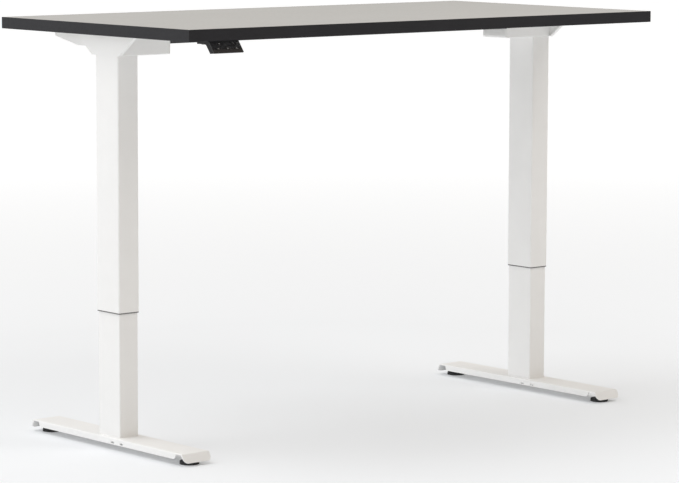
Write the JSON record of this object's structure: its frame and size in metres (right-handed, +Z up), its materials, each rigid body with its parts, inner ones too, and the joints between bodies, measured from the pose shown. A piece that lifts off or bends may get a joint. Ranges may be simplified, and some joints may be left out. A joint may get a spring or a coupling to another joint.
{
  "type": "height adjustable standing desk",
  "caption": "Rectangular table top on two motor driven telescopic columns with T shaped feet, levelling pads and a push button handset.",
  "frame": {"origin": "on the floor under the middle of the top", "axes": "+X along the desk to the user's right, +Y to the rear, +Z up"},
  "size_m": [1.5, 0.75, 1.022],
  "materials": {
    "white_powder_coat": "fine satin powder coat",
    "black_powder_coat": "fine satin powder coat",
    "zinc_steel": "zinc plated",
    "natural_nylon": "moulded nylon",
    "nut_brass": "turned",
    "spindle_steel": "rolled and greased",
    "gear_plastic": "moulded acetal",
    "white_plastic": "fine moulded texture",
    "cast_aluminium": "as cast",
    "motor_black": "satin",
    "pad_rubber": "matt",
    "collar_grey": "moulded",
    "bearing_chrome": "polished",
    "particle_board": "pressed chips",
    "grey_laminate": "matt laminate",
    "black_edge_band": "satin band",
    "black_plastic": "fine moulded texture",
    "board_green": "solder mask",
    "gloss_black": "polished",
    "display_glass": "smoked window",
    "button_grey": "satin moulded"
  },
  "bodies": {
    "left_base": {"foot_left": "white_powder_coat", "foot_screws_left": "zinc_steel", "inner_tube_left": "white_powder_coat", "column_guide_left": "natural_nylon", "spindle_nut_left": "nut_brass"},
    "upper": {"outer_tube_left": "white_powder_coat", "drive_box_left": "white_powder_coat", "box_end_cap_left": "white_plastic", "side_plate_left": "white_powder_coat", "rear_arm_left": "white_powder_coat", "gearbox_case_left": "cast_aluminium", "motor_left": "motor_black", "outer_tube_right": "white_powder_coat", "drive_box_right": "white_powder_coat", "box_end_cap_right": "white_plastic", "side_plate_right": "white_powder_coat", "rear_arm_right": "white_powder_coat", "gearbox_case_right": "cast_aluminium", "motor_right": "motor_black", "guide_collars": "collar_grey", "gearbox_covers": "cast_aluminium", "spindle_bearings": "bearing_chrome", "drive_screws": "zinc_steel", "top_core": "particle_board", "top_laminate": "grey_laminate", "edge_band": "black_edge_band", "cross_rail_front": "black_powder_coat", "cross_rail_rear": "black_powder_coat", "top_screws": "zinc_steel", "control_box": "black_plastic", "control_box_cover": "black_plastic", "control_board": "board_green", "handset_shell": "black_plastic", "handset_face": "gloss_black", "display_window": "display_glass"},
    "right_base": {"foot_right": "white_powder_coat", "foot_screws_right": "zinc_steel", "inner_tube_right": "white_powder_coat", "column_guide_right": "natural_nylon", "spindle_nut_right": "nut_brass"},
    "left_spindle": {"spindle_left": "spindle_steel", "worm_wheel_left": "gear_plastic"},
    "right_spindle": {"spindle_right": "spindle_steel", "worm_wheel_right": "gear_plastic"},
    "left_worm": {"worm_shaft_left": "spindle_steel"},
    "right_worm": {"worm_shaft_right": "spindle_steel"},
    "leveller_front_left": {"leveller_pad_front_left": "pad_rubber", "leveller_stud_front_left": "zinc_steel"},
    "leveller_rear_left": {"leveller_pad_rear_left": "pad_rubber", "leveller_stud_rear_left": "zinc_steel"},
    "leveller_front_right": {"leveller_pad_front_right": "pad_rubber", "leveller_stud_front_right": "zinc_steel"},
    "leveller_rear_right": {"leveller_pad_rear_right": "pad_rubber", "leveller_stud_rear_right": "zinc_steel"},
    "button_timer": {"button_timer": "button_grey"},
    "button_up": {"button_up": "button_grey"},
    "button_down": {"button_down": "button_grey"},
    "button_memory_1": {"button_memory_1": "button_grey"},
    "button_memory_2": {"button_memory_2": "button_grey"},
    "button_memory_3": {"button_memory_3": "button_grey"}
  },
  "joints": [
    {"name": "lift", "type": "slide", "parent": "left_base", "child": "upper", "axis": [0, 0, 1], "range_m": [-0.285, 0.185]},
    {"name": "right_column", "type": "slide", "parent": "upper", "child": "right_base", "axis": [0, 0, 1], "range_m": [-0.185, 0.285]},
    {"name": "left_spindle_turn", "type": "hinge", "parent": "upper", "child": "left_spindle", "pos_m": [-0.678, 0, 0.9], "axis": [0, 0, 1], "range_deg": [-6420, 4170]},
    {"name": "right_spindle_turn", "type": "hinge", "parent": "upper", "child": "right_spindle", "pos_m": [0.678, 0, 0.9], "axis": [0, 0, 1], "range_deg": [-6420, 4170]},
    {"name": "left_worm_turn", "type": "hinge", "parent": "upper", "child": "left_worm", "pos_m": [-0.678, -0.0253, 0.965], "axis": [1, 0, 0], "range_deg": [-154080, 100080]},
    {"name": "right_worm_turn", "type": "hinge", "parent": "upper", "child": "right_worm", "pos_m": [0.678, -0.0253, 0.965], "axis": [1, 0, 0], "range_deg": [-154080, 100080]},
    {"name": "leveller_front_left_screw", "type": "slide", "parent": "left_base", "child": "leveller_front_left", "axis": [0, 0, -1], "range_m": [0, 0.007]},
    {"name": "leveller_rear_left_screw", "type": "slide", "parent": "left_base", "child": "leveller_rear_left", "axis": [0, 0, -1], "range_m": [0, 0.007]},
    {"name": "leveller_front_right_screw", "type": "slide", "parent": "right_base", "child": "leveller_front_right", "axis": [0, 0, -1], "range_m": [0, 0.007]},
    {"name": "leveller_rear_right_screw", "type": "slide", "parent": "right_base", "child": "leveller_rear_right", "axis": [0, 0, -1], "range_m": [0, 0.007]},
    {"name": "button_timer_press", "type": "slide", "parent": "upper", "child": "button_timer", "axis": [0, 0.7926, -0.6097], "range_m": [0, 0.0008], "stiffness_N_per_m": 1500},
    {"name": "button_up_press", "type": "slide", "parent": "upper", "child": "button_up", "axis": [0, 0.7926, -0.6097], "range_m": [0, 0.0008], "stiffness_N_per_m": 1500},
    {"name": "button_down_press", "type": "slide", "parent": "upper", "child": "button_down", "axis": [0, 0.7926, -0.6097], "range_m": [0, 0.0008], "stiffness_N_per_m": 1500},
    {"name": "button_memory_1_press", "type": "slide", "parent": "upper", "child": "button_memory_1", "axis": [0, 0.7926, -0.6097], "range_m": [0, 0.0008], "stiffness_N_per_m": 1500},
    {"name": "button_memory_2_press", "type": "slide", "parent": "upper", "child": "button_memory_2", "axis": [0, 0.7926, -0.6097], "range_m": [0, 0.0008], "stiffness_N_per_m": 1500},
    {"name": "button_memory_3_press", "type": "slide", "parent": "upper", "child": "button_memory_3", "axis": [0, 0.7926, -0.6097], "range_m": [0, 0.0008], "stiffness_N_per_m": 1500}
  ],
  "couplings": [
    {"joint": "right_column", "follows": "lift", "ratio": -1},
    {"joint": "left_spindle_turn", "follows": "lift", "rad_per_m": 392.7},
    {"joint": "right_spindle_turn", "follows": "lift", "rad_per_m": 392.7},
    {"joint": "left_worm_turn", "follows": "lift", "rad_per_m": 9424.8},
    {"joint": "right_worm_turn", "follows": "lift", "rad_per_m": 9424.8}
  ]
}
